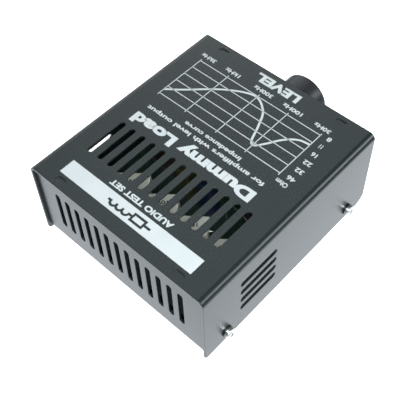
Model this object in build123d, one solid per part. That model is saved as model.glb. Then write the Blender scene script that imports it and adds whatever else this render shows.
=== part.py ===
from build123d import *
import math
import os

# Reactive load box: a folded sheet cover over a folded tray, with a level control, two jacks and a board of
# power resistors, inductors and capacitors inside. Millimetres. +Z is up and the control faces -Y.
# Every part is drawn about the middle of the cover's footprint, with z = 0 at the cover's lower edge. FRAME
# then moves the finished parts so that the origin is the middle of the whole footprint, under the feet.

# Sheet metal
SHEET = 1.0
COVER_W = 100.7
COVER_D = 111.3
COVER_H = 46.4
COVER_BEND = 3.2
FRONT_CORNER_R = 5.5
REAR_CORNER_R = 1.8
FIT_GAP = 0.3
PANEL_SETBACK = 1.4
TRAY_Z = 1.2
TRAY_BEND = 2.2
TRAY_CORNER_R = 2.0

# Ventilation slots. SIDE_VENTS gives each side's number of vents and the height of their middle.
SLOT_W = 3.0
SLOT_COUNT = 13
TOP_SLOT_PITCH = 6.13
TOP_SLOT_LEN = 21.8
TOP_SLOT_X = 0.4
TOP_SLOT_Y = 22.4
REAR_SLOT_PITCH = 6.08
REAR_SLOT_LEN = 23.4
REAR_SLOT_Z = 24.5
SIDE_VENTS = {-1: (4, 23.1), 1: (2, 31.1)}
SIDE_VENT_PITCH = 6.11
SIDE_VENT_W = 3.4
SIDE_VENT_LEN = 22.8
SIDE_VENT_Y = 22.3

# Tongues pressed down from the cover, which sit behind the panels' top edges
TONGUE_X = 34.4
TONGUE_W = 5.4
TONGUE_D = 2.4
TONGUE_SINK = 0.5
TONGUE_DROP = 1.1
TONGUE_CLEAR = 0.15

# Side fixings
FIX_Y = 42.0
FIX_Z = 5.9
TAB_W = 14.0
TAB_TOP = 10.2
NUT_R = 3.0
NUT_T = 2.0
LOCK_WASHER_T = 0.7
LOCK_WASHER_SPLIT = 0.6
NUT_CHAMFER = 0.3

# Screws, M3
THREAD_R = 1.5
CLEAR_R = 1.7
THREAD_GAP = 0.02
HEAD_R = 2.85
HEAD_H = 2.2
HEAD_ROUND = 1.1
RECESS_L = 3.2
RECESS_W = 0.7
RECESS_D = 1.2
COVER_SCREW_LEN = 6.0
BOARD_SCREW_LEN = 4.4
FLOOR_SCREW_LEN = 3.6

# Control knob
CONTROL_Z = 22.5
KNOB_R = 12.3
KNOB_REACH = 18.9
KNOB_GAP = 1.4
KNOB_TAPER = 0.25
KNOB_RIM = 1.3
KNOB_WALL = 2.2
KNOB_RECESS_D = 12.0
NUT_RECESS_D = 3.0
RIB_W = 1.2
RIB_ROOT = 0.2
HUB_R = 5.8
SHAFT_R = 3.0
SHAFT_GAP = 0.04
SHAFT_BORE_D = 13.6
SHAFT_FLAT = 1.5
SHAFT_FLAT_LEN = 10.0
SHAFT_TIP_GAP = 0.4
SHAFT_TAIL_GAP = 2.0
POINTER_W = 1.1
POINTER_D = 0.5
POINTER_R0 = 5.0
POINTER_R1 = 10.4
POINTER_FROM_TOP = 150.0
SET_SCREW_LEN = 4.6
SET_SCREW_Y = 7.5
SET_SOCKET_R = 0.75
SET_SOCKET_D = 1.5
THREAD_OVERRUN = 0.4

# Potentiometer behind the front panel
POT_R = 8.5
POT_WALL = 1.0
POT_DEPTH = 8.0
POT_BUSH_R = 3.9
POT_BUSH_LEN = 4.0
POT_NUT_AF = 11.0
POT_NUT_T = 2.0
POT_WASHER_R = 6.0
POT_WASHER_T = 0.5
WAFER_T = 1.2
WAFER_TAB_W = 15.0
WAFER_TAB_DROP = 11.0
WIPER_R = 6.8
WIPER_T = 1.5
WIPER_FRONT_GAP = 0.6
WIPER_REAR_GAP = 0.2
FINGER_W = 2.0
FINGER_R = (4.4, 6.2)
POT_PIN_PITCH = 5.0
POT_PIN_DROP = 6.0
PIN_W = 1.0
PIN_T = 0.5

# 6.35 mm jack sockets, one each side of the control
JACK_X = 29.0
JACK_BORE_R = 3.25
JACK_BUSH_R = 4.7
JACK_BUSH_OUT = 6.6
JACK_NUT_AF = 12.5
JACK_NUT_T = 2.4
JACK_WASHER_R = 7.0
JACK_WASHER_T = 0.5
JACK_BODY_W = 16.0
JACK_BODY_D = 23.0
JACK_WALL = 2.0
JACK_CORNER_R = 1.0
JACK_MOUTH = 0.4
JACK_PIN_X = 5.0
JACK_PIN_INSET = 4.0
JACK_SPRING_W = 3.0
JACK_SPRING_T = 0.4
SPRING_TAIL = 15.1
SPRING_KNEE = 9.0
SPRING_TOE = 5.0
SPRING_TIP = 1.5
SPRING_LIFT = 1.4
SPRING_CLEAR = 0.1
SPRING_BEND = 1.0

# Circuit board and its standoffs
BOARD_W = 87.0
BOARD_FRONT = -46.0
BOARD_REAR = 50.0
BOARD_T = 1.6
BOARD_CORNER_R = 1.5
STANDOFF_H = 6.0
STANDOFF_AF = 5.5
STANDOFF_X = 38.0
STANDOFF_Y = 34.0

# Cement resistors, laid at an angle in a row
RESISTOR_COUNT = 4
RESISTOR_PITCH = 18.3
RESISTOR_ANGLE = 39.0
RESISTOR_L = 22.0
RESISTOR_W = 10.0
RESISTOR_H = 9.0
RESISTOR_LIFT = 1.9
RESISTOR_CORNER_X = 24.0
RESISTOR_CORNER_Y = 11.0
RESISTOR_EDGE = 0.5
LEAD_R = 0.4
LEAD_OUT = 2.2
LEAD_BEND = 0.9

# Inductors: x, y, flange radius and height of each
INDUCTORS = [(28.5, -12.0, 14.0, 25.0), (-27.0, -14.0, 11.5, 20.0)]
CORE_FLANGE_T = 2.5
CORE_WAIST = 0.45
WINDING_FILL = 0.9
INDUCTOR_BASE_T = 1.2

# Capacitors
CAN_X = -3.4
CAN_Y = 1.2
CAN_R = 5.0
CAN_H = 20.0
CAN_ROUND = 0.6
FILM_W = 7.5
FILM_L = 17.5
FILM_H = 18.0
FILM_ROUND = 0.7
FILM_PLACES = [(9.4, -3.2), (-3.6, -22.0)]

# Feet
FOOT_R = 5.5
FOOT_DROP = 2.4
FOOT_X = 40.0
FOOT_Y = 45.0
FOOT_TAPER = 0.7
FOOT_ROUND = 0.6

# Places worked out from the sizes above
PANEL_Y = COVER_D / 2 - PANEL_SETBACK
PANEL_IN = PANEL_Y - SHEET
TRAY_W = COVER_W - 2 * SHEET - 2 * FIT_GAP
TRAY_TOP = COVER_H - SHEET - FIT_GAP
FLOOR_TOP = TRAY_Z + SHEET
BOARD_Z = FLOOR_TOP + STANDOFF_H
BOARD_TOP = BOARD_Z + BOARD_T
KNOB_FACE_Y = -COVER_D / 2 - KNOB_REACH
KNOB_BACK_Y = -PANEL_Y - KNOB_GAP
KNOB_LEN = KNOB_BACK_Y - KNOB_FACE_Y
CORNERS = [(-1, -1), (-1, 1), (1, -1), (1, 1)]
FRAME = Pos(0, KNOB_REACH / 2, FOOT_DROP)

BOTTOM_UP = (Align.CENTER, Align.CENTER, Align.MIN)
THROUGH = 2 * SHEET
NEAR = 0.01
NUT_CORNER = 0.3
WASHER_GAP = 0.1


def block(x0, x1, y0, y1, z0, z1):
    """A box between two corners."""
    return Pos((x0 + x1) / 2, (y0 + y1) / 2, (z0 + z1) / 2) * Box(x1 - x0, y1 - y0, z1 - z0)


def rod_y(radius, y0, y1, x=0.0, z=CONTROL_Z):
    """A cylinder along Y."""
    return Pos(x, (y0 + y1) / 2, z) * Rot(90, 0, 0) * Cylinder(radius, y1 - y0)


def rod_z(radius, z0, z1, x=0.0, y=0.0):
    """A cylinder along Z."""
    return Pos(x, y, z0) * Cylinder(radius, z1 - z0, align=BOTTOM_UP)


def ring_y(outer, inner, y0, y1, x=0.0, z=CONTROL_Z):
    """A tube along Y."""
    return rod_y(outer, y0, y1, x, z) - rod_y(inner, y0, y1, x, z)


def hex_nut_y(across_flats, bore, y0, y1, x=0.0, z=CONTROL_Z):
    """A hexagon nut along Y, with its corners broken."""
    flat = RegularPolygon(across_flats / 2, 6, major_radius=False)
    nut = Pos(x, y1, z) * Rot(90, 0, 0) * extrude(flat, amount=y1 - y0)
    corner_r = across_flats / 2 / math.cos(math.pi / 6) - NUT_CORNER
    return (nut & rod_y(corner_r, y0, y1, x, z)) - rod_y(bore, y0, y1, x, z)


def spread(count, pitch):
    """That many places a pitch apart, about 0."""
    return [(i - (count - 1) / 2) * pitch for i in range(count)]


def folded_profile(width, height, bend):
    """A rectangle standing on y = 0 whose two top corners are rounded."""
    outline = Rectangle(width, height, align=(Align.CENTER, Align.MIN))
    return fillet(outline.vertices().group_by(Axis.Y)[-1], bend)


def screw(length):
    """A pan-head cross-recessed screw: its head sits on z = 0 and its shank goes down."""
    head = Cylinder(HEAD_R, HEAD_H, align=BOTTOM_UP)
    head = fillet(head.edges().group_by(Axis.Z)[-1], HEAD_ROUND)
    for angle in (0, 90):
        blade = Rot(0, 0, angle) * Box(RECESS_L, RECESS_W, 2 * RECESS_D)
        head -= Pos(0, 0, HEAD_H) * blade
    return head + Pos(0, 0, -length) * Cylinder(THREAD_R, length, align=BOTTOM_UP)


def lock_washer():
    """A split spring washer lying on z = 0."""
    ring = Cylinder(HEAD_R, LOCK_WASHER_T, align=BOTTOM_UP)
    ring -= Cylinder(CLEAR_R, LOCK_WASHER_T, align=BOTTOM_UP)
    return ring - block(0, 2 * HEAD_R, -LOCK_WASHER_SPLIT / 2, LOCK_WASHER_SPLIT / 2, 0, LOCK_WASHER_T)


def side_places(x):
    """Where something on each side of the box goes, with +Z turned to face outwards at a distance x."""
    return [Pos(sx * x, sy * FIX_Y, FIX_Z) * Rot(0, 90 * sx, 0) for sx, sy in CORNERS]


def make_top_cover():
    outer = folded_profile(COVER_W, COVER_H, COVER_BEND)
    inner = folded_profile(COVER_W - 2 * SHEET, COVER_H - SHEET, COVER_BEND - SHEET)
    cover = extrude(Plane.XZ * (outer - inner), amount=COVER_D / 2, both=True)
    for side, radius in ((-1, FRONT_CORNER_R), (1, REAR_CORNER_R)):
        lower = [e for e in cover.edges().filter_by(Axis.X) if abs(e.center().Z) < NEAR]
        cover = fillet([e for e in lower if side * e.center().Y > COVER_D / 2 - NEAR], radius)
    for x in spread(SLOT_COUNT, TOP_SLOT_PITCH):
        slot = SlotOverall(TOP_SLOT_LEN, SLOT_W, rotation=90)
        cover -= Pos(x + TOP_SLOT_X, TOP_SLOT_Y, COVER_H) * extrude(slot, amount=THROUGH, both=True)
    vent = extrude(Plane.YZ * SlotOverall(SIDE_VENT_LEN, SIDE_VENT_W), amount=THROUGH, both=True)
    for side, (count, middle) in SIDE_VENTS.items():
        for z in spread(count, SIDE_VENT_PITCH):
            cover -= Pos(side * COVER_W / 2, SIDE_VENT_Y, middle + z) * vent
    for place in side_places(COVER_W / 2):
        cover -= place * Cylinder(CLEAR_R, 2 * THROUGH)
    y_in = PANEL_IN - TONGUE_CLEAR
    for sx, sy in CORNERS:
        y0, y1 = sorted((sy * (y_in - TONGUE_D), sy * y_in))
        x0, x1 = sx * TONGUE_X - TONGUE_W / 2, sx * TONGUE_X + TONGUE_W / 2
        cover += block(x0, x1, y0, y1, COVER_H - SHEET - TONGUE_DROP, COVER_H - SHEET)
        pocket = Pos(sx * TONGUE_X, (y0 + y1) / 2, COVER_H) * SlotOverall(TONGUE_W, TONGUE_D)
        cover -= extrude(pocket, amount=-TONGUE_SINK)
    return cover


def make_chassis_tray():
    depth = 2 * PANEL_Y
    height = TRAY_TOP - TRAY_Z
    outer = Rectangle(depth, height, align=(Align.CENTER, Align.MIN))
    outer = fillet(outer.vertices().group_by(Axis.Y)[0], TRAY_BEND)
    inner = Pos(0, SHEET) * Rectangle(depth - 2 * SHEET, height, align=(Align.CENTER, Align.MIN))
    inner = fillet(inner.vertices().group_by(Axis.Y)[0], TRAY_BEND - SHEET)
    tray = Pos(0, 0, TRAY_Z) * extrude(Plane.YZ * (outer - inner), amount=TRAY_W / 2, both=True)
    top_edges = [e for e in tray.edges().filter_by(Axis.Y) if e.center().Z > TRAY_TOP - NEAR]
    tray = fillet([e for e in top_edges if abs(abs(e.center().X) - TRAY_W / 2) < NEAR], TRAY_CORNER_R)
    for sx, sy in CORNERS:
        x0, x1 = sorted((sx * TRAY_W / 2, sx * (TRAY_W / 2 - SHEET)))
        tray += block(x0, x1, sy * FIX_Y - TAB_W / 2, sy * FIX_Y + TAB_W / 2, TRAY_Z, TAB_TOP)
        tray -= rod_z(CLEAR_R, 0, FLOOR_TOP + SHEET, sx * STANDOFF_X, sy * STANDOFF_Y)
    for place in side_places(TRAY_W / 2):
        tray -= place * Cylinder(CLEAR_R, 2 * THROUGH)
    for x in spread(SLOT_COUNT, REAR_SLOT_PITCH):
        slot = Plane.XZ * SlotOverall(REAR_SLOT_LEN, SLOT_W, rotation=90)
        tray -= Pos(x, PANEL_Y, REAR_SLOT_Z) * extrude(slot, amount=THROUGH, both=True)
    front = (-PANEL_Y - SHEET, -PANEL_IN + SHEET)
    tray -= rod_y(POT_BUSH_R + FIT_GAP / 2, *front)
    for sx in (-1, 1):
        tray -= rod_y(JACK_BUSH_R + FIT_GAP / 2, *front, x=sx * JACK_X)
    return tray


def make_cover_screws():
    return [place * screw(COVER_SCREW_LEN) for place in side_places(COVER_W / 2 + LOCK_WASHER_T)]


def make_lock_washers():
    return [place * lock_washer() for place in side_places(COVER_W / 2)]


def make_clinch_nuts():
    nut = Cylinder(NUT_R, NUT_T, align=BOTTOM_UP)
    nut = chamfer(nut.edges().group_by(Axis.Z)[0], NUT_CHAMFER)
    nut -= Cylinder(THREAD_R + THREAD_GAP, NUT_T, align=BOTTOM_UP)
    return [place * nut for place in side_places(TRAY_W / 2 - SHEET - NUT_T)]


def knob_place():
    """Takes a knob part drawn with its back on z = 0 and its face up to the front panel."""
    return Pos(0, KNOB_BACK_Y, CONTROL_Z) * Rot(90, 0, 0)


def pointer_turn():
    """The knob rests at its anticlockwise stop, seen from the front."""
    return Rot(0, 0, 90 + POINTER_FROM_TOP)


def pointer_bar():
    length = POINTER_R1 - POINTER_R0
    bar = Box(length, POINTER_W, POINTER_D, align=(Align.MIN, Align.CENTER, Align.MAX))
    return knob_place() * pointer_turn() * Pos(POINTER_R0, 0, KNOB_LEN) * bar


def radial_rod(radius, r0, r1):
    """A cylinder across the knob, from radius r0 to r1, in line with the pointer."""
    rod = Rot(0, 90, 0) * Cylinder(radius, r1 - r0, align=BOTTOM_UP)
    return knob_place() * pointer_turn() * Pos(r0, 0, SET_SCREW_Y) * rod


def make_control_knob():
    body = Cone(KNOB_R, KNOB_R - KNOB_TAPER, KNOB_LEN, align=BOTTOM_UP)
    body = fillet(body.edges().group_by(Axis.Z)[-1], KNOB_RIM)
    hollow = rod_z(KNOB_R - KNOB_WALL, 0, KNOB_RECESS_D) - rod_z(HUB_R, NUT_RECESS_D, KNOB_RECESS_D)
    body -= hollow
    rib_y = HUB_R + (KNOB_R - KNOB_WALL - HUB_R) / 2
    rib_l = KNOB_R - KNOB_WALL - HUB_R + 2 * RIB_ROOT
    for angle in (45, 135, 225, 315):
        rib = Box(rib_l, RIB_W, KNOB_RECESS_D - NUT_RECESS_D, align=BOTTOM_UP)
        body += Rot(0, 0, angle) * Pos(rib_y, 0, NUT_RECESS_D) * rib
    body -= rod_z(SHAFT_R + SHAFT_GAP / 2, 0, SHAFT_BORE_D)
    body = knob_place() * body
    body -= pointer_bar()
    body -= radial_rod(THREAD_R + THREAD_GAP, 0, HUB_R + THREAD_OVERRUN)
    return body - radial_rod(CLEAR_R, HUB_R + THREAD_OVERRUN / 2, KNOB_R + 1)


def make_knob_pointer():
    return pointer_bar()


def make_knob_set_screw():
    end = SHAFT_FLAT + SET_SCREW_LEN
    return radial_rod(THREAD_R, SHAFT_FLAT, end) - radial_rod(SET_SOCKET_R, end - SET_SOCKET_D, end)


def wafer_front_y():
    return -PANEL_IN + POT_DEPTH


def make_pot_shaft():
    tip = KNOB_BACK_Y - SHAFT_BORE_D + SHAFT_TIP_GAP
    shaft = rod_y(SHAFT_R, tip, wafer_front_y() - SHAFT_TAIL_GAP)
    flat = Box(2 * SHAFT_R, 2 * SHAFT_R, SHAFT_FLAT_LEN, align=(Align.MIN, Align.CENTER, Align.MAX))
    flat = knob_place() * pointer_turn() * Pos(SHAFT_FLAT, 0, SHAFT_BORE_D - SHAFT_TIP_GAP) * flat
    return shaft - flat


def make_pot_wiper():
    front = -PANEL_IN + POT_WALL + WIPER_FRONT_GAP
    rear = wafer_front_y() - WIPER_REAR_GAP
    low, high = FINGER_R
    finger = block(-FINGER_W / 2, FINGER_W / 2, front, rear, CONTROL_Z + low, CONTROL_Z + high)
    return ring_y(WIPER_R, SHAFT_R, front, front + WIPER_T) + finger


def make_pot_housing():
    front = -PANEL_IN
    can = rod_y(POT_R, front, wafer_front_y())
    can -= rod_y(POT_R - POT_WALL, front + POT_WALL, wafer_front_y())
    bush = rod_y(POT_BUSH_R, -PANEL_IN - SHEET - POT_BUSH_LEN, front)
    return can + bush - rod_y(SHAFT_R + SHAFT_GAP, front - SHEET - POT_BUSH_LEN, front + POT_WALL)


def make_pot_wafer():
    front, rear = wafer_front_y(), wafer_front_y() + WAFER_T
    half = WAFER_TAB_W / 2
    tab = block(-half, half, front, rear, CONTROL_Z - WAFER_TAB_DROP, CONTROL_Z)
    return rod_y(POT_R, front, rear) + tab


def pin(x, y, top):
    """A flat pin that stands on the board."""
    return block(x - PIN_W / 2, x + PIN_W / 2, y, y + PIN_T, BOARD_TOP, top)


def make_pot_pins():
    y = wafer_front_y() + WAFER_T
    return [pin(i * POT_PIN_PITCH, y, CONTROL_Z - POT_PIN_DROP) for i in (-1, 0, 1)]


def make_pot_washer():
    return ring_y(POT_WASHER_R, POT_BUSH_R + WASHER_GAP, -PANEL_Y - POT_WASHER_T, -PANEL_Y)


def make_pot_nut():
    y1 = -PANEL_Y - POT_WASHER_T
    return hex_nut_y(POT_NUT_AF, POT_BUSH_R + THREAD_GAP, y1 - POT_NUT_T, y1)


def per_jack(make):
    """The same piece for the left and the right jack."""
    return [make(sx * JACK_X) for sx in (-1, 1)]


def jack_housing(x):
    front, rear = -PANEL_IN, -PANEL_IN + JACK_BODY_D
    outer = JACK_BODY_W / 2
    inner = outer - JACK_WALL
    body = block(x - outer, x + outer, front, rear, CONTROL_Z - outer, CONTROL_Z + outer)
    body = fillet(body.edges().filter_by(Axis.Y), JACK_CORNER_R)
    y0, y1 = front + JACK_WALL, rear - JACK_WALL
    body -= block(x - inner, x + inner, y0, y1, CONTROL_Z - inner, CONTROL_Z + inner)
    return body - rod_y(JACK_BUSH_R, front, y0, x)


def jack_bush(x):
    y1 = -PANEL_IN + JACK_WALL
    bush = ring_y(JACK_BUSH_R, JACK_BORE_R, -PANEL_Y - JACK_BUSH_OUT, y1, x)
    mouth = Pos(x, -PANEL_Y - JACK_BUSH_OUT, CONTROL_Z) * Rot(90, 0, 0)
    return bush - mouth * Cone(JACK_BORE_R - JACK_MOUTH, JACK_BORE_R + JACK_MOUTH, 2 * JACK_MOUTH)


def jack_washer(x):
    return ring_y(JACK_WASHER_R, JACK_BUSH_R + WASHER_GAP, -PANEL_Y - JACK_WASHER_T, -PANEL_Y, x)


def jack_nut(x):
    y1 = -PANEL_Y - JACK_WASHER_T
    return hex_nut_y(JACK_NUT_AF, JACK_BUSH_R + THREAD_GAP, y1 - JACK_NUT_T, y1, x)


def jack_spring(x):
    """A bent leaf that bears on the plug's tip, fixed to the roof of the housing."""
    roof = CONTROL_Z + JACK_BODY_W / 2 - JACK_WALL
    low = CONTROL_Z + JACK_BORE_R + SPRING_CLEAR
    rear = -PANEL_IN + JACK_BODY_D - JACK_WALL
    points = [
        (rear - SPRING_TAIL, roof - JACK_SPRING_T / 2),
        (rear - SPRING_KNEE, roof - JACK_SPRING_T / 2),
        (rear - SPRING_TOE, low + JACK_SPRING_T / 2),
        (rear - SPRING_TIP, low + SPRING_LIFT),
    ]
    path = FilletPolyline(*[Vector(x, y, z) for y, z in points], radius=SPRING_BEND)
    start = Plane(origin=path @ 0, z_dir=path % 0, x_dir=(1, 0, 0))
    return sweep(start * Rectangle(JACK_SPRING_W, JACK_SPRING_T), path=path)


def jack_pins(x):
    y = -PANEL_IN + JACK_BODY_D - JACK_PIN_INSET
    return [pin(x + side * JACK_PIN_X, y, CONTROL_Z - JACK_BODY_W / 2) for side in (-1, 1)]


def make_circuit_board():
    board = block(-BOARD_W / 2, BOARD_W / 2, BOARD_FRONT, BOARD_REAR, BOARD_Z, BOARD_TOP)
    board = fillet(board.edges().filter_by(Axis.Z), BOARD_CORNER_R)
    for sx, sy in CORNERS:
        board -= rod_z(CLEAR_R, BOARD_Z, BOARD_TOP, sx * STANDOFF_X, sy * STANDOFF_Y)
    return board


def at_standoffs(shape, z):
    return [Pos(sx * STANDOFF_X, sy * STANDOFF_Y, z) * shape for sx, sy in CORNERS]


def make_standoffs():
    post = extrude(RegularPolygon(STANDOFF_AF / 2, 6, major_radius=False), amount=STANDOFF_H)
    post -= rod_z(THREAD_R + THREAD_GAP, 0, STANDOFF_H)
    return at_standoffs(post, FLOOR_TOP)


def make_board_screws():
    return at_standoffs(screw(BOARD_SCREW_LEN), BOARD_TOP)


def make_floor_screws():
    return at_standoffs(Rot(180, 0, 0) * screw(FLOOR_SCREW_LEN), TRAY_Z)


def resistor_places():
    """Each place is the front corner of a resistor, with +X along its length and +Y across it."""
    places = []
    for i in range(RESISTOR_COUNT):
        corner = Pos(RESISTOR_CORNER_X - i * RESISTOR_PITCH, RESISTOR_CORNER_Y, BOARD_TOP + RESISTOR_LIFT)
        places.append(corner * Rot(0, 0, RESISTOR_ANGLE))
    return places


def make_power_resistors():
    case = block(0, RESISTOR_L, 0, RESISTOR_W, 0, RESISTOR_H)
    case = fillet(case.edges(), RESISTOR_EDGE)
    return [place * case for place in resistor_places()]


def make_resistor_leads():
    leads = []
    for place in resistor_places():
        for start, way in ((0, -1), (RESISTOR_L, 1)):
            z = RESISTOR_H / 2
            out = start + way * LEAD_OUT
            y = RESISTOR_W / 2
            path = FilletPolyline((start, y, z), (out, y, z), (out, y, -RESISTOR_LIFT), radius=LEAD_BEND)
            section = Plane(origin=path @ 0, z_dir=path % 0) * Circle(LEAD_R)
            leads.append(place * sweep(section, path=path))
    return leads


def inductor_z():
    return BOARD_TOP + INDUCTOR_BASE_T


def make_inductor_bases():
    return [rod_z(radius, BOARD_TOP, inductor_z(), x, y) for x, y, radius, _ in INDUCTORS]


def make_inductor_cores():
    cores = []
    for x, y, radius, height in INDUCTORS:
        z0, z1 = inductor_z(), inductor_z() + height
        core = rod_z(radius, z0, z0 + CORE_FLANGE_T, x, y) + rod_z(radius, z1 - CORE_FLANGE_T, z1, x, y)
        cores.append(core + rod_z(radius * CORE_WAIST, z0, z1, x, y))
    return cores


def make_inductor_windings():
    windings = []
    for x, y, radius, height in INDUCTORS:
        z0, z1 = inductor_z() + CORE_FLANGE_T, inductor_z() + height - CORE_FLANGE_T
        coil = rod_z(radius * WINDING_FILL, z0, z1, x, y) - rod_z(radius * CORE_WAIST, z0, z1, x, y)
        windings.append(coil)
    return windings


def make_can_capacitor():
    can = rod_z(CAN_R, BOARD_TOP, BOARD_TOP + CAN_H, CAN_X, CAN_Y)
    return fillet(can.edges().group_by(Axis.Z)[-1], CAN_ROUND)


def make_film_capacitors():
    case = Box(FILM_W, FILM_L, FILM_H, align=BOTTOM_UP)
    case = fillet(case.edges(), FILM_ROUND)
    return [Pos(x, y, BOARD_TOP) * case for x, y in FILM_PLACES]


def make_rubber_feet():
    height = FOOT_DROP + TRAY_Z
    foot = Cone(FOOT_R - FOOT_TAPER, FOOT_R, height, align=BOTTOM_UP)
    foot = fillet(foot.edges().group_by(Axis.Z)[0], FOOT_ROUND)
    return [Pos(sx * FOOT_X, sy * FOOT_Y, -FOOT_DROP) * foot for sx, sy in CORNERS]


NODES = {
    "top_cover": make_top_cover,
    "chassis_tray": make_chassis_tray,
    "cover_screws": make_cover_screws,
    "lock_washers": make_lock_washers,
    "clinch_nuts": make_clinch_nuts,
    "control_knob": make_control_knob,
    "knob_pointer": make_knob_pointer,
    "knob_set_screw": make_knob_set_screw,
    "pot_shaft": make_pot_shaft,
    "pot_wiper": make_pot_wiper,
    "pot_housing": make_pot_housing,
    "pot_wafer": make_pot_wafer,
    "pot_pins": make_pot_pins,
    "pot_washer": make_pot_washer,
    "pot_nut": make_pot_nut,
    "jack_housings": lambda: per_jack(jack_housing),
    "jack_bushes": lambda: per_jack(jack_bush),
    "jack_washers": lambda: per_jack(jack_washer),
    "jack_nuts": lambda: per_jack(jack_nut),
    "jack_springs": lambda: per_jack(jack_spring),
    "jack_pins": lambda: sum(per_jack(jack_pins), []),
    "circuit_board": make_circuit_board,
    "board_standoffs": make_standoffs,
    "board_screws": make_board_screws,
    "floor_screws": make_floor_screws,
    "power_resistors": make_power_resistors,
    "resistor_leads": make_resistor_leads,
    "inductor_bases": make_inductor_bases,
    "inductor_cores": make_inductor_cores,
    "inductor_windings": make_inductor_windings,
    "can_capacitor": make_can_capacitor,
    "film_capacitors": make_film_capacitors,
    "rubber_feet": make_rubber_feet,
}

os.makedirs("parts", exist_ok=True)
for name, make in NODES.items():
    made = make()
    pieces = made if isinstance(made, list) else [made]
    placed = [FRAME * piece for piece in pieces]
    shape = placed[0] if len(placed) == 1 else Compound(children=placed)
    export_step(shape, f"parts/{name}.step")
    print(name, len(placed), "piece(s)", round(sum(p.volume for p in placed), 1), "mm3")
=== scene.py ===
import math

import bmesh
import bpy
from mathutils import Matrix, Quaternion, Vector


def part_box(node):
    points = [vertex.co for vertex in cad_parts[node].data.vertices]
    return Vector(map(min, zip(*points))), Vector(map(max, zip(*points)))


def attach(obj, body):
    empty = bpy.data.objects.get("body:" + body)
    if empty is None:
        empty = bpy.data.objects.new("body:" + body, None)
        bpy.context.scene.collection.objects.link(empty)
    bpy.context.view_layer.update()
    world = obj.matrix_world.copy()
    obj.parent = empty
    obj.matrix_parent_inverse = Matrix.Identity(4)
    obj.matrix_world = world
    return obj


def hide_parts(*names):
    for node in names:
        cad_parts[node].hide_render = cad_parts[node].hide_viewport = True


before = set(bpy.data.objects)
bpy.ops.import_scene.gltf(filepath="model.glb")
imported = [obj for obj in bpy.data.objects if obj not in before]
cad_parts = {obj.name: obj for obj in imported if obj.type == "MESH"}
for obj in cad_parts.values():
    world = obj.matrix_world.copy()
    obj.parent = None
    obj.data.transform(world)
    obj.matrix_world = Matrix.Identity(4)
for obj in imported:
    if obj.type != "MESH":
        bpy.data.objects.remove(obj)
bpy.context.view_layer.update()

# A black sheet-metal load box with a white printed legend, on a pale floor under studio lights.
# Places come from the frame. MM turns millimetres into the frame's metres.

MM = 0.001

COVER_LO, COVER_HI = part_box("top_cover")
TRAY_LO, TRAY_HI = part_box("chassis_tray")
KNOB_LO, KNOB_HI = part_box("control_knob")
COVER_MID_Y = (COVER_LO.y + COVER_HI.y) / 2
TOP_Z = COVER_HI.z
PANEL_Y = TRAY_LO.y
CONTROL_Z = (KNOB_LO.z + KNOB_HI.z) / 2

# Camera, seen from behind and to the left of the box
CAMERA_FROM = Vector((-151.6, 165.9, 310.5)) * MM
CAMERA_FORWARD = Vector((0.4383, -0.4420, -0.7827))
CAMERA_ROLL = -2.615
CAMERA_LENS = 71.1
CAMERA_SHIFT = (0.0026, -0.0795)

# The light that the floor sends to the object, out to where it fades, and what the camera sees of it
FLOOR_GLOW = 1.82
FLOOR_DIM = 0.12
GLOW_END = (0.12, 0.20)
FLOOR_SEEN = 1.0
FLOOR_TINT = (0.92, 0.97, 1.02)
FLOOR_GREYS = ((0.86, 0.86, 0.87), (0.9, 0.9, 0.9))
FLOOR_PATCHES = 0.002
FLOOR_R = 20.0
FLOOR_SIDES = 64

# The world that the object sees, as grey levels at the horizon and above it
WORLD_HORIZON = (0.3, 0.3, 0.3, 1)
WORLD_ABOVE = (0.10, 0.10, 0.105, 1)
HORIZON_END = 0.16
WHITE = (1, 1, 1, 1)

# Softboxes: degrees from overhead towards -x, degrees across, span along y and radiance.
# Area lights: place, size and power. The rear one stands behind the camera, so it reaches into the vents.
LIGHT_TINT = (0.94, 1.0, 1.02)
LIGHT_TARGET = Vector((0, 0, 0.02))
SOFTBOX_REACH = 0.9
SOFTBOXES = {
    "key_softbox": (57, 26, (-1.15, -0.15), 5.4),
    "fill_softbox": (-24, 38, (-0.9, 0.0), 0.95),
}
AREA_LIGHTS = {
    "front_softbox": (Vector((0.78, -0.62, 0.40)), (1.0, 0.7), 3.4),
    "rear_softbox": (CAMERA_FROM * 1.4, (0.15, 0.15), 2.7),
}

# Ink: its height and the widths of its lines, in millimetres
INK_H = 0.04
THIN = 0.42
CURVE_W = 1.05

# The graph on the cover, in millimetres from the middle of the top
PRINT_SHIFT = -0.3
GRAPH_X = (-32.0, 39.0)
GRAPH_Y = (-39.7, -12.0)
TICK = 1.2
CURVE = [
    (-32.0, -32.5), (-26.5, -31.3), (-21.5, -27.0), (-17.0, -20.0), (-13.9, -16.3), (-11.3, -18.0),
    (-8.2, -26.3), (-3.8, -34.6), (5.0, -39.0), (18.0, -32.7), (32.0, -20.4), (38.9, -14.9),
]
FREQUENCIES = {"30Hz": 30, "100Hz": 100, "300Hz": 300, "1kHz": 1000, "3kHz": 3000}
FREQUENCY_W = 2.15
FREQUENCY_Y = (-44.8, -42.5)
OHMS = ("8", "11", "16", "22", "32", "46")
OHM_W = 2.05
ONE_SAVES = 0.65
OHM_H = 2.5
OHM_GAP = 3.4
OHM_DROP = 0.5
LABEL_INSET = 1.9
LABEL_WEIGHT = 0.03

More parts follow.
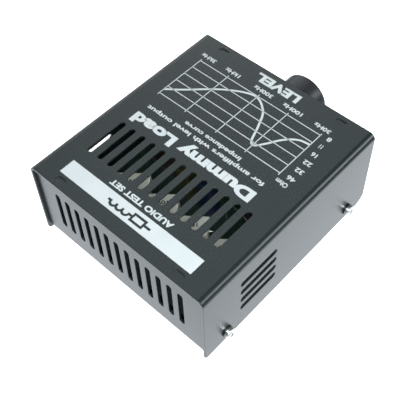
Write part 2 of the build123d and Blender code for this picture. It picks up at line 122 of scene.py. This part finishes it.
# The words on the cover: name, words, span along x, span along y and how much the strokes are thickened
WORDS = [
    ("label_ohm", "Ohm", (-38.8, -32.8), (-9.5, -6.9), LABEL_WEIGHT),
    ("level_word", "LEVEL", (-12.2, 12.4), (-52.6, -47.3), 0.05),
    ("caption", "Impedance curve", (-14.8, 17.6), (-8.2, -5.2), LABEL_WEIGHT),
    ("power_line", "for amplifiers with level output", (-31.0, 37.0), (-4.3, -1.2), LABEL_WEIGHT),
    ("title", "Dummy Load", (-31.8, 38.0), (0.6, 8.9), 0.055),
    ("rear_line", "AUDIO TEST SET", (-17.2, 18.3), (36.4, 39.4), 0.045),
]

# Vertices this near, in metres, are one when a node is split into its solids
WELD = 1e-6

# The inductors' wire, and the share of a coil's radius that its core fills
WIRE_D = 0.9
COIL_CORE = 0.52

# The jacks' thread: how far its crests stand out, how far it is sunk in the bush, and its plain open end
THREAD_PITCH = 0.75
THREAD_CREST = 0.12
THREAD_SINK = 0.1
THREAD_END = 0.7

# The rating on each resistor
RESISTOR_ANGLE = 39.0
RATING = "10W 8R"
RATING_X = (-6.0, 6.0)
RATING_Y = (-1.2, 1.0)

# The bare wire over the left of the board, in millimetres from the middle of the board's top
JUMPER_R = 0.35
JUMPER = [
    (-14.0, 1.4, 0), (-14.2, 1.4, 8), (-15.6, 1.6, 12.6), (-20.0, 2.2, 14.5), (-26.8, 3.3, 14.2),
    (-31.4, 4.0, 12.3), (-32.8, 4.2, 8), (-33.0, 4.2, 0),
]

# The wide white band across the rear of the top, and the circuit symbol in it
BAND_X = (-37.5, 38.6)
BAND_Y = (40.9, 48.9)
SYMBOL_X = 0.5
SYMBOL_LINE = 1.15
SYMBOL_LEAD = 1.6
SYMBOL_BOX = (7.4, 4.6)
HUMP_R = 1.75
HUMPS = 3

# The dial round the knob on the front panel, in millimetres from the control's axis
DIAL_TURN = 300.0
DIAL_MARKS = 10
DIAL_TICK = (14.2, 15.8)
DIAL_NUMBER_R = 18.2
DIAL_NUMBER_H = 2.4

# The words under the jacks: which side, and half their width
JACK_WORD_Z = (-13.2, -10.8)
JACK_WORDS = {"INPUT": (-1, 5.6), "OUTPUT": (1, 6.8)}


# ---------------------------------------------------------------- materials

EVEN = (1, 1, 1)

# The parts of a noise that count as its patches and as its grain, and the cosines between flat and edge
PATCH_SPAN = (0.35, 0.65)
GRAIN_SPAN = (0.3, 0.7)
EDGE_SPAN = (0.995, 0.9)


class Nodes:
    """A short way to write a material's node tree."""

    def __init__(self, name):
        self.material = bpy.data.materials.new(name)
        self.material.use_nodes = True
        self.tree = self.material.node_tree
        self.shader = self.tree.nodes["Principled BSDF"]
        self.place = self.add("ShaderNodeTexCoord").outputs["Object"]

    def add(self, kind, **values):
        node = self.tree.nodes.new(kind)
        for key, value in values.items():
            setattr(node, key, value)
        return node

    def link(self, source, target):
        self.tree.links.new(source, target)

    def noise(self, per_mm, detail=3.0, stretch=EVEN):
        """Noise with that many cells to the millimetre, about 0.5 on the mean."""
        mapping = self.add("ShaderNodeMapping")
        mapping.inputs["Scale"].default_value = [s * per_mm / MM for s in stretch]
        self.link(self.place, mapping.inputs["Vector"])
        node = self.add("ShaderNodeTexNoise")
        node.inputs["Scale"].default_value = 1.0
        node.inputs["Detail"].default_value = detail
        self.link(mapping.outputs["Vector"], node.inputs["Vector"])
        return node.outputs["Fac"]

    def ramp(self, value, low, high, start=0.0, end=1.0):
        """value from low..high to start..end, clamped."""
        node = self.add("ShaderNodeMapRange")
        for key, number in (("From Min", low), ("From Max", high), ("To Min", start), ("To Max", end)):
            node.inputs[key].default_value = number
        self.link(value, node.inputs["Value"])
        return node.outputs["Result"]

    def mix(self, factor, a, b):
        """Colour a where the factor is 0, b where it is 1. Each is a colour or a socket."""
        node = self.add("ShaderNodeMix", data_type="RGBA")
        self.link(factor, node.inputs[0])
        for socket, colour in ((node.inputs[6], a), (node.inputs[7], b)):
            if isinstance(colour, tuple):
                socket.default_value = (*colour, 1.0)
            else:
                self.link(colour, socket)
        return node.outputs[2]

    def rounded(self, radius):
        """The normal of the surface with its edges rounded to that radius."""
        bevel = self.add("ShaderNodeBevel", samples=6)
        bevel.inputs["Radius"].default_value = radius * MM
        return bevel.outputs["Normal"]

    def edges(self, rounded):
        """1 on sharp edges, 0 on flat faces."""
        geometry = self.add("ShaderNodeNewGeometry")
        dot = self.add("ShaderNodeVectorMath", operation="DOT_PRODUCT")
        self.link(rounded, dot.inputs[0])
        self.link(geometry.outputs["Normal"], dot.inputs[1])
        return self.ramp(dot.outputs["Value"], *EDGE_SPAN)

    def bump(self, height, strength, distance, normal):
        """A bump by that height, over a surface with that normal."""
        node = self.add("ShaderNodeBump")
        node.inputs["Strength"].default_value = strength
        node.inputs["Distance"].default_value = distance * MM
        self.link(height, node.inputs["Height"])
        self.link(normal, node.inputs["Normal"])
        self.link(node.outputs["Normal"], self.shader.inputs["Normal"])

    def set(self, **values):
        for key, value in values.items():
            socket = self.shader.inputs[key.replace("_", " ")]
            if isinstance(value, bpy.types.NodeSocket):
                self.link(value, socket)
            elif isinstance(value, tuple):
                socket.default_value = (*value, 1.0)
            else:
                socket.default_value = value


def finish(name, dark, light, rough, metal=0.0, edge_wear_and_highlight=None, stretch=EVEN, **look):
    """A finish whose colour runs between dark and light in patches, with a grain and another colour on its
    edges: wear, and on the paint a painted highlight along the edges.
    """
    n = Nodes(name)
    patches = n.ramp(n.noise(look.get("cells", 0.15), stretch=stretch), *PATCH_SPAN)
    colour = n.mix(patches, dark, light)
    rounded = n.rounded(look.get("wear", 0.12))
    # The edge colour is wear, and on the black paint it is also a painted highlight along the cut edges and
    # bends.
    if edge_wear_and_highlight:
        colour = n.mix(n.edges(rounded), colour, edge_wear_and_highlight)
    fine = n.noise(look.get("grain", 6.0), detail=4.0, stretch=stretch)
    uneven = look.get("uneven", 0.12)
    roughness = n.ramp(fine, *GRAIN_SPAN, rough * (1 - uneven), rough * (1 + uneven))
    n.set(Base_Color=colour, Metallic=metal, Roughness=roughness)
    n.set(Specular_IOR_Level=look.get("gloss", 0.5))
    n.bump(fine, look.get("bump", 0.05), look.get("depth", 0.02), rounded)
    return n.material


def make_materials():
    paint = dict(cells=0.03, grain=3.0, bump=0.006, depth=0.01, wear=0.4, uneven=0.04)
    # The paint's edges are a little lighter than its face: a painted highlight along the cut edges and bends,
    # with some wear.
    paint["edge_wear_and_highlight"] = (0.02, 0.024, 0.026)
    steel = dict(metal=1.0, grain=5.0, bump=0.1, depth=0.01)
    gloss_black = dict(grain=1.2, depth=0.01, gloss=0.25)
    stone = dict(cells=0.3, grain=5.0, bump=0.4, depth=0.05, edge_wear_and_highlight=(0.92, 0.92, 0.84))
    # name: the dark and the light colour of its patches, its roughness and the rest of its look
    finishes = {
        "cover_paint": ((0.0100, 0.0165, 0.0165), (0.0125, 0.0190, 0.0195), 0.27, paint),
        "tray_paint": ((0.0105, 0.0160, 0.0185), (0.0130, 0.0185, 0.0215), 0.27, paint),
        "screw_zinc": ((0.62, 0.63, 0.63), (0.72, 0.72, 0.71), 0.38, steel),
        "dark_steel": ((0.05, 0.05, 0.052), (0.09, 0.09, 0.09), 0.38, dict(steel, edge_wear_and_highlight=(0.2, 0.2, 0.2))),
        "nut_zinc": ((0.55, 0.56, 0.55), (0.72, 0.72, 0.69), 0.3, steel),
        "knob_black": ((0.024, 0.025, 0.027), (0.030, 0.031, 0.034), 0.3, gloss_black),
        "pointer_white": ((0.72, 0.72, 0.70), (0.80, 0.80, 0.78), 0.45, {}),
        "shaft_alloy": ((0.60, 0.60, 0.60), (0.72, 0.72, 0.72), 0.3, dict(steel, stretch=(1, 0.1, 1))),
        "wiper_bronze": ((0.42, 0.25, 0.12), (0.55, 0.34, 0.17), 0.3, steel),
        "pot_zinc": ((0.48, 0.49, 0.48), (0.62, 0.62, 0.60), 0.35, steel),
        "phenolic": ((0.13, 0.055, 0.02), (0.18, 0.08, 0.03), 0.55, dict(grain=9.0, bump=0.2)),
        "tinned": ((0.55, 0.55, 0.54), (0.72, 0.72, 0.70), 0.32, steel),
        "jack_nickel": ((0.52, 0.50, 0.46), (0.68, 0.65, 0.60), 0.2, steel),
        "jack_plastic": ((0.012, 0.012, 0.013), (0.02, 0.02, 0.021), 0.45, dict(bump=0.1)),
        "board_green": ((0.012, 0.026, 0.018), (0.018, 0.038, 0.026), 0.35, dict(grain=3.0)),
        "standoff_brass": ((0.55, 0.38, 0.14), (0.68, 0.49, 0.20), 0.3, steel),
        "cement": ((0.86, 0.88, 0.76), (0.95, 0.96, 0.86), 0.85, stone),
        "ferrite": ((0.02, 0.02, 0.022), (0.035, 0.035, 0.037), 0.6, dict(grain=7.0, bump=0.3)),
        "enamelled_wire": ((0.030, 0.019, 0.015), (0.045, 0.028, 0.020), 0.34, dict(metal=0.5, grain=3.0)),
        "fibre_board": ((0.02, 0.02, 0.02), (0.03, 0.03, 0.03), 0.8, dict(grain=8.0, bump=0.3)),
        "blue_sleeve": ((0.008, 0.014, 0.042), (0.011, 0.020, 0.060), 0.3, dict(grain=1.5)),
        "olive_film": ((0.035, 0.040, 0.014), (0.048, 0.054, 0.018), 0.38, dict(grain=2.0, bump=0.2)),
        "rubber_black": ((0.014, 0.014, 0.014), (0.024, 0.024, 0.024), 0.8, dict(grain=5.0, bump=0.35)),
        "print_white": ((0.55, 0.59, 0.60), (0.585, 0.62, 0.63), 0.5, dict(cells=0.1, grain=5.0, bump=0.08)),
        "print_dark": ((0.03, 0.03, 0.03), (0.06, 0.06, 0.055), 0.7, dict(cells=0.5, grain=5.0)),
    }
    return {
        name: finish(name, dark, light, rough, **look)
        for name, (dark, light, rough, look) in finishes.items()
    }


MATERIALS = make_materials()

for node_name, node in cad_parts.items():
    for material_slot in node.material_slots:
        material_slot.material = MATERIALS[material_slot.name.split(".")[0]]

# ---------------------------------------------------------------- mesh helpers


def new_piece(name, mesh, slot, matrix):
    """A finished piece in the scene, riding on the case."""
    piece = bpy.data.objects.new(name, mesh)
    bpy.context.scene.collection.objects.link(piece)
    mesh.transform(matrix)
    mesh.materials.clear()
    mesh.materials.append(MATERIALS[slot])
    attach(piece, "case")
    return piece


def steps(ends, count):
    """count even steps from one end to the other."""
    return [ends[0] + (ends[1] - ends[0]) * i / (count - 1) for i in range(count)]


def arc(cx, cy, radius, start, end, count=12):
    """Points on an arc, from start to end in degrees."""
    angles = [math.radians(a) for a in steps((start, end), count)]
    return [(cx + radius * math.cos(a), cy + radius * math.sin(a)) for a in angles]


def rectangle(x_range, y_range):
    """The corners of a rectangle, in order."""
    return [
        (x_range[0], y_range[0]), (x_range[1], y_range[0]),
        (x_range[1], y_range[1]), (x_range[0], y_range[1]),
    ]


def join(name, meshes):
    """One mesh of several."""
    verts, faces = [], []
    for mesh_verts, mesh_faces in meshes:
        start = len(verts)
        verts += mesh_verts
        faces += [[start + i for i in face] for face in mesh_faces]
    mesh = bpy.data.meshes.new(name)
    mesh.from_pydata(verts, [], faces)
    mesh.validate()
    return mesh


def ribbon(points, width):
    """A flat line of that width along points, with square ends, standing on z = 0. Millimetres."""
    points = [Vector(p) for p in points]
    verts, faces = [], []
    for i, p in enumerate(points):
        ahead = points[min(i + 1, len(points) - 1)]
        behind = points[max(i - 1, 0)]
        along = (ahead - behind).normalized()
        across = Vector((-along.y, along.x)) * width / 2
        for side, z in ((across, 0), (-across, 0), (-across, INK_H), (across, INK_H)):
            verts.append((p.x + side.x, p.y + side.y, z))
    for i in range(len(points) - 1):
        a, b = 4 * i, 4 * i + 4
        faces += [(a + j, b + j, b + (j + 1) % 4, a + (j + 1) % 4) for j in range(4)]
    last = 4 * (len(points) - 1)
    faces += [(0, 1, 2, 3), (last + 3, last + 2, last + 1, last)]
    return verts, faces


def spline(points, count=10):
    """A smooth run of points through those given: a Catmull-Rom curve, with that many points to each span."""
    points = [Vector(p) for p in points]
    padded = [2 * points[0] - points[1], *points, 2 * points[-1] - points[-2]]
    out = []
    for a, b, c, d in zip(padded, padded[1:], padded[2:], padded[3:]):
        slope = c - a
        square = 2 * a - 5 * b + 4 * c - d
        cube = 3 * b - a - 3 * c + d
        for t in (i / count for i in range(count)):
            out.append((2 * b + slope * t + square * t**2 + cube * t**3) / 2)
    return [*out, points[-1]]


def flat_shape(name, outlines):
    """A flat solid from closed outlines in millimetres. An outline inside another is a hole, and so on."""
    curve = bpy.data.curves.new(name, "CURVE")
    curve.dimensions = "2D"
    curve.fill_mode = "BOTH"
    curve.extrude = INK_H / 2
    for outline in outlines:
        loop = curve.splines.new("POLY")
        loop.points.add(len(outline) - 1)
        for point, (x, y) in zip(loop.points, outline):
            point.co = (x, y, 0, 1)
        loop.use_cyclic_u = True
    return curve_mesh(curve)


def curve_mesh(curve):
    """The mesh of a flat curve or text, standing on z = 0."""
    holder = bpy.data.objects.new(curve.name, curve)
    bpy.context.scene.collection.objects.link(holder)
    graph = bpy.context.evaluated_depsgraph_get()
    mesh = bpy.data.meshes.new_from_object(holder.evaluated_get(graph))
    mesh.name = curve.name
    bpy.data.objects.remove(holder)
    bpy.data.curves.remove(curve)
    mesh.transform(Matrix.Translation((0, 0, INK_H / 2)))
    return mesh


def lettering(name, words, x_range, y_range, weight=LABEL_WEIGHT):
    """Words stretched to fill a box, in millimetres."""
    text = bpy.data.curves.new(name, "FONT")
    text.body = words
    text.offset = weight
    text.extrude = INK_H / 2
    text.resolution_u = 4
    mesh = curve_mesh(text)
    xs = [v.co.x for v in mesh.vertices]
    ys = [v.co.y for v in mesh.vertices]
    sx = (x_range[1] - x_range[0]) / (max(xs) - min(xs))
    sy = (y_range[1] - y_range[0]) / (max(ys) - min(ys))
    for v in mesh.vertices:
        v.co.x = x_range[0] + (v.co.x - min(xs)) * sx
        v.co.y = y_range[0] + (v.co.y - min(ys)) * sy
    return mesh


ON_TOP = Matrix.Translation((PRINT_SHIFT * MM, COVER_MID_Y, TOP_Z)) @ Matrix.Scale(MM, 4)
UPRIGHT = Matrix.Rotation(math.radians(90), 4, "X")
ON_PANEL = Matrix.Translation((0, PANEL_Y, CONTROL_Z)) @ UPRIGHT @ Matrix.Scale(MM, 4)


def print_top(name, mesh):
    new_piece(name, mesh, "print_white", ON_TOP)


def print_panel(name, mesh):
    new_piece(name, mesh, "print_white", ON_PANEL)


# ---------------------------------------------------------------- legend on the cover


def number_width(words):
    """The width of a number, in which each 1 is narrow."""
    return OHM_W * (len(words) - ONE_SAVES * words.count("1"))


def frequency_x(hertz):
    """The place of a frequency along the graph, on a logarithmic scale."""
    low, high = min(FREQUENCIES.values()), max(FREQUENCIES.values())
    return GRAPH_X[0] + (GRAPH_X[1] - GRAPH_X[0]) * math.log(hertz / low) / math.log(high / low)


def print_graph():
    lines = []
    for y in steps(GRAPH_Y, len(OHMS)):
        lines.append(ribbon([(GRAPH_X[0], y), (GRAPH_X[1], y)], THIN))
    for hertz in FREQUENCIES.values():
        x = frequency_x(hertz)
        lines.append(ribbon([(x, GRAPH_Y[0] - TICK), (x, GRAPH_Y[1] + TICK)], THIN))
    print_top("graph_grid", join("graph_grid", lines))
    print_top("graph_curve", join("graph_curve", [ribbon(spline(CURVE), CURVE_W)]))


def print_labels():
    for words, hertz in FREQUENCIES.items():
        middle = min(max(frequency_x(hertz), GRAPH_X[0] + LABEL_INSET), GRAPH_X[1] - LABEL_INSET)
        half = len(words) * FREQUENCY_W / 2
        mesh = lettering(words, words, (middle - half, middle + half), FREQUENCY_Y)
        print_top("label_" + words, mesh)
    right = GRAPH_X[0] - OHM_GAP
    for words, y in zip(OHMS, steps(GRAPH_Y, len(OHMS))):
        y_range = (y - OHM_DROP - OHM_H / 2, y - OHM_DROP + OHM_H / 2)
        mesh = lettering(words, words, (right - number_width(words), right), y_range)
        print_top("label_ohm_" + words, mesh)


def print_words():
    for name, words, x_range, y_range, weight in WORDS:
        print_top(name, lettering(name, words, x_range, y_range, weight))


def load_symbol(cx, cy):
    """Outlines of a resistor in series with a coil: the line round them and the inside of the resistor."""
    box_w, box_h = SYMBOL_BOX
    half = SYMBOL_LINE / 2
    x0 = -(4 * SYMBOL_LEAD + box_w + HUMPS * 2 * HUMP_R) / 2
    box0 = x0 + 2 * SYMBOL_LEAD
    box1 = box0 + box_w
    coil0 = box1 + SYMBOL_LEAD
    x1 = coil0 + HUMPS * 2 * HUMP_R + SYMBOL_LEAD
    outer, inner = HUMP_R + half, HUMP_R - half
    lift = math.degrees(math.asin(half / outer))
    cusp = math.degrees(math.acos(HUMP_R / outer))
    path = [(x0, half), (box0, half), (box0, box_h / 2), (box1, box_h / 2), (box1, half)]
    for i in range(HUMPS):
        middle = coil0 + HUMP_R * (2 * i + 1)
        start = 180 - (lift if i == 0 else cusp)
        end = lift if i == HUMPS - 1 else cusp
        path += arc(middle, 0, outer, start, end)
    path += [(x1, half), (x1, -half)]
    for i in reversed(range(HUMPS)):
        middle = coil0 + HUMP_R * (2 * i + 1)
        path += [(middle + inner, -half), *arc(middle, 0, inner, 0, 180), (middle - inner, -half)]
    path += [(box1, -half), (box1, -box_h / 2), (box0, -box_h / 2), (box0, -half), (x0, -half)]
    hole_y = box_h / 2 - SYMBOL_LINE
    hole = rectangle((box0 + SYMBOL_LINE, box1 - SYMBOL_LINE), (-hole_y, hole_y))
    return [[(cx + x, cy + y) for x, y in outline] for outline in (path, hole)]


def print_band():
    symbol = load_symbol(SYMBOL_X, (BAND_Y[0] + BAND_Y[1]) / 2)
    print_top("rear_band", flat_shape("rear_band", [rectangle(BAND_X, BAND_Y), *symbol]))


print_graph()
print_labels()
print_words()
print_band()

# ---------------------------------------------------------------- legend on the front panel


def print_dial():
    """Ticks and numbers from 0 to 10 round the knob."""
    ticks = []
    for number, angle in enumerate(steps((-DIAL_TURN / 2, DIAL_TURN / 2), DIAL_MARKS + 1)):
        way = Vector((math.sin(math.radians(angle)), math.cos(math.radians(angle))))
        ticks.append(ribbon([way * DIAL_TICK[0], way * DIAL_TICK[1]], THIN))
        middle = way * DIAL_NUMBER_R
        words = str(number)
        half_w, half_h = number_width(words) / 2, DIAL_NUMBER_H / 2
        x_range = (middle.x - half_w, middle.x + half_w)
        y_range = (middle.y - half_h, middle.y + half_h)
        mesh = lettering(words, words, x_range, y_range)
        print_panel("dial_" + words, mesh)
    print_panel("dial_ticks", join("dial_ticks", ticks))


def print_jack_words():
    """A word under each jack, centred on its nut, which is as wide as it is high."""
    low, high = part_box("jack_nuts")
    middle = (high.x - low.x - high.z + low.z) / 2 / MM
    for words, (side, half) in JACK_WORDS.items():
        x_range = (side * middle - half, side * middle + half)
        mesh = lettering(words, words, x_range, JACK_WORD_Z)
        print_panel(words.lower() + "_word", mesh)


print_dial()
print_jack_words()

# ---------------------------------------------------------------- details that the frame leaves plain


def islands(node):
    """The boxes of a node's separate solids, by their place: left to right, then front to rear."""
    mesh = bmesh.new()
    mesh.from_mesh(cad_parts[node].data)
    bmesh.ops.remove_doubles(mesh, verts=mesh.verts, dist=WELD)
    seen, boxes = set(), []
    for start in mesh.verts:
        if start in seen:
            continue
        group, front = [], [start]
        seen.add(start)
        while front:
            vert = front.pop()
            group.append(vert.co.copy())
            for edge in vert.link_edges:
                other = edge.other_vert(vert)
                if other not in seen:
                    seen.add(other)
                    front.append(other)
        low = Vector([min(co[i] for co in group) for i in range(3)])
        high = Vector([max(co[i] for co in group) for i in range(3)])
        boxes.append((low, high))
    mesh.free()
    return sorted(boxes, key=lambda pair: (round(pair[0].x, 4), round(pair[0].y, 4)))


def lathe(profile, sides=48):
    """A ring round the z axis from a closed outline of (radius, z) points."""
    verts, faces = [], []
    count = len(profile)
    for i in range(sides):
        angle = 2 * math.pi * i / sides
        verts += [(r * math.cos(angle), r * math.sin(angle), z) for r, z in profile]
    for i in range(sides):
        a, b = i * count, (i + 1) % sides * count
        for j in range(count):
            k = (j + 1) % count
            faces.append((a + j, b + j, b + k, a + k))
    return verts, faces


def rounded_ring(middle_r, z, wire_r, points=8):
    """One turn of wire: a ring of round section."""
    return [(middle_r + x, z + y) for x, y in arc(0, 0, wire_r, 0, 360 - 360 / points, points)]


def shade_smooth(mesh):
    for polygon in mesh.polygons:
        polygon.use_smooth = True
    return mesh


def wind_inductors():
    """Turns of enamelled wire in place of each plain coil."""
    coils = islands("inductor_windings")
    pieces = []
    for side, (low, high) in zip(("left", "right"), coils):
        radius = (high.x - low.x) / 2 / MM
        height = (high.z - low.z) / MM
        turns = int(height / WIRE_D)
        pitch = height / turns
        wire_r = WIRE_D / 2
        meshes = [lathe(rectangle((radius * COIL_CORE, radius - wire_r), (0, height)))]
        for i in range(turns):
            meshes.append(lathe(rounded_ring(radius - wire_r, pitch * (i + 0.5), wire_r)))
        place = Matrix.Translation(((low.x + high.x) / 2, (low.y + high.y) / 2, low.z))
        mesh = shade_smooth(join(side + "_winding", meshes))
        piece = new_piece(side + "_winding", mesh, "enamelled_wire", place @ Matrix.Scale(MM, 4))
        pieces.append(piece)
    for piece in pieces:
        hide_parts("inductor_windings")


def thread_jacks():
    """The crests of the thread on the open end of each jack's bush."""
    nut_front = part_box("jack_nuts")[0].y
    for side, (low, high) in zip(("left", "right"), islands("jack_bushes")):
        radius = (high.x - low.x) / 2 / MM
        length = (nut_front - low.y) / MM - THREAD_END
        half, root = THREAD_PITCH / 2, radius - THREAD_SINK
        crests = []
        for i in range(int(length / THREAD_PITCH)):
            z = THREAD_END + THREAD_PITCH * (i + 0.5)
            crests.append(lathe([(root, z - half), (radius + THREAD_CREST, z), (root, z + half)]))
        place = Matrix.Translation(((low.x + high.x) / 2, low.y, (low.z + high.z) / 2))
        turn = Matrix.Rotation(math.radians(-90), 4, "X")
        mesh = shade_smooth(join(side + "_jack_thread", crests))
        piece = new_piece(side + "_jack_thread", mesh, "jack_nickel", place @ turn @ Matrix.Scale(MM, 4))


def tube(points, radius, sides=12):
    """A round tube of that radius along points, with flat ends. Millimetres."""
    points = [Vector(p) for p in points]
    verts, faces = [], []
    side = Vector((1, 0, 0))
    for i, p in enumerate(points):
        along = (points[min(i + 1, len(points) - 1)] - points[max(i - 1, 0)]).normalized()
        side = (side - along * side.dot(along)).normalized()
        up = along.cross(side)
        for x, y in arc(0, 0, radius, 0, 360 - 360 / sides, sides):
            verts.append(p + x * side + y * up)
    for i in range(len(points) - 1):
        a, b = i * sides, (i + 1) * sides
        faces += [(a + j, a + (j + 1) % sides, b + (j + 1) % sides, b + j) for j in range(sides)]
    last = (len(points) - 1) * sides
    faces += [tuple(reversed(range(sides))), tuple(range(last, last + sides))]
    return verts, faces


def make_jumper():
    """A bare wire that hops across the left of the board."""
    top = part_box("circuit_board")[1].z
    mesh = shade_smooth(join("jumper_wire", [tube(spline(JUMPER, 8), JUMPER_R)]))
    place = Matrix.Translation((0, COVER_MID_Y, top)) @ Matrix.Scale(MM, 4)
    new_piece("jumper_wire", mesh, "tinned", place)


def print_resistors():
    """The rating on top of each cement resistor."""
    for i, (low, high) in enumerate(islands("power_resistors")):
        middle = Vector(((low.x + high.x) / 2, (low.y + high.y) / 2, high.z))
        place = Matrix.Translation(middle) @ Matrix.Rotation(math.radians(RESISTOR_ANGLE), 4, "Z")
        name = "resistor_%d_rating" % (i + 1)
        mesh = lettering(name, RATING, RATING_X, RATING_Y)
        new_piece(name, mesh, "print_dark", place @ Matrix.Scale(MM, 4))


wind_inductors()
thread_jacks()
make_jumper()
print_resistors()

# ---------------------------------------------------------------- floor, lights and camera


def area_light(name, place, size, power, target=LIGHT_TARGET):
    lamp = bpy.data.lights.new(name, "AREA")
    lamp.shape = "RECTANGLE"
    lamp.size, lamp.size_y = size
    lamp.energy = power
    lamp.color = LIGHT_TINT
    holder = bpy.data.objects.new(name, lamp)
    bpy.context.scene.collection.objects.link(holder)
    holder.location = place
    holder.rotation_mode = "QUATERNION"
    holder.rotation_quaternion = (target - place).to_track_quat("-Z", "Y")


def softbox(name, tilt, spread, y_range, radiance):
    """A panel along y, tilted from overhead towards -x, that spans so many degrees as the object sees it."""
    way = Vector((-math.sin(math.radians(tilt)), 0, math.cos(math.radians(tilt))))
    middle = Vector((0, sum(y_range) / 2, 0))
    size = (y_range[1] - y_range[0], 2 * SOFTBOX_REACH * math.tan(math.radians(spread / 2)))
    power = radiance * math.pi * size[0] * size[1]
    area_light(name, middle + way * SOFTBOX_REACH, size, power, middle)


def make_floor():
    """A pale floor, even to the camera, that glows on the object from close by and fades further out."""
    n = Nodes("studio_floor")
    patches = n.ramp(n.noise(FLOOR_PATCHES), *GRAIN_SPAN)
    n.set(Base_Color=n.mix(patches, *FLOOR_GREYS), Roughness=0.6)
    n.set(Emission_Color=(1.0, 1.0, 1.0), Emission_Strength=FLOOR_SEEN)
    distance = n.add("ShaderNodeVectorMath", operation="LENGTH")
    n.link(n.place, distance.inputs[0])
    glow = n.add("ShaderNodeEmission")
    glow.inputs["Color"].default_value = (*FLOOR_TINT, 1.0)
    n.link(n.ramp(distance.outputs["Value"], *GLOW_END, FLOOR_GLOW, FLOOR_DIM), glow.inputs["Strength"])
    path = n.add("ShaderNodeLightPath")
    either = n.add("ShaderNodeMixShader")
    n.link(path.outputs["Is Camera Ray"], either.inputs[0])
    n.link(glow.outputs["Emission"], either.inputs[1])
    n.link(n.shader.outputs["BSDF"], either.inputs[2])
    n.link(either.outputs["Shader"], n.tree.nodes["Material Output"].inputs["Surface"])
    mesh = bpy.data.meshes.new("floor")
    ring = [(x, y, 0) for x, y in arc(0, 0, FLOOR_R, 0, 360 - 360 / FLOOR_SIDES, FLOOR_SIDES)]
    mesh.from_pydata(ring, [], [list(range(len(ring)))])
    mesh.materials.append(n.material)
    floor = bpy.data.objects.new("floor", mesh)
    bpy.context.scene.collection.objects.link(floor)


def make_world():
    """White to the camera. To the object it is dim above and a little brighter at the horizon."""
    world = bpy.data.worlds.new("studio")
    bpy.context.scene.world = world
    world.use_nodes = True
    tree = world.node_tree
    background = tree.nodes["Background"]
    place = tree.nodes.new("ShaderNodeTexCoord")
    split = tree.nodes.new("ShaderNodeSeparateXYZ")
    ramp = tree.nodes.new("ShaderNodeValToRGB")
    tree.links.new(place.outputs["Generated"], split.inputs["Vector"])
    tree.links.new(split.outputs["Z"], ramp.inputs["Fac"])
    tree.links.new(ramp.outputs["Color"], background.inputs["Color"])
    pale, dim = ramp.color_ramp.elements
    pale.position, pale.color = 0.0, WORLD_HORIZON
    dim.position, dim.color = HORIZON_END, WORLD_ABOVE
    background.inputs["Strength"].default_value = 1.0
    seen = tree.nodes.new("ShaderNodeBackground")
    seen.inputs["Color"].default_value = WHITE
    path = tree.nodes.new("ShaderNodeLightPath")
    either = tree.nodes.new("ShaderNodeMixShader")
    tree.links.new(path.outputs["Is Camera Ray"], either.inputs[0])
    tree.links.new(background.outputs["Background"], either.inputs[1])
    tree.links.new(seen.outputs["Background"], either.inputs[2])
    tree.links.new(either.outputs["Shader"], tree.nodes["World Output"].inputs["Surface"])


def make_camera():
    data = bpy.data.cameras.new("camera")
    data.lens = CAMERA_LENS
    data.sensor_width = 36.0
    data.shift_x, data.shift_y = CAMERA_SHIFT
    data.clip_start, data.clip_end = 0.01, 100
    camera = bpy.data.objects.new("camera", data)
    bpy.context.scene.collection.objects.link(camera)
    camera.location = CAMERA_FROM
    camera.rotation_mode = "QUATERNION"
    roll = Quaternion((0, 0, 1), math.radians(CAMERA_ROLL))
    camera.rotation_quaternion = CAMERA_FORWARD.to_track_quat("-Z", "Y") @ roll
    bpy.context.scene.camera = camera


make_floor()
make_world()
for light_name, light in SOFTBOXES.items():
    softbox(light_name, *light)
for light_name, light in AREA_LIGHTS.items():
    area_light(light_name, *light)
make_camera()
bpy.context.scene.view_settings.view_transform = "Standard"
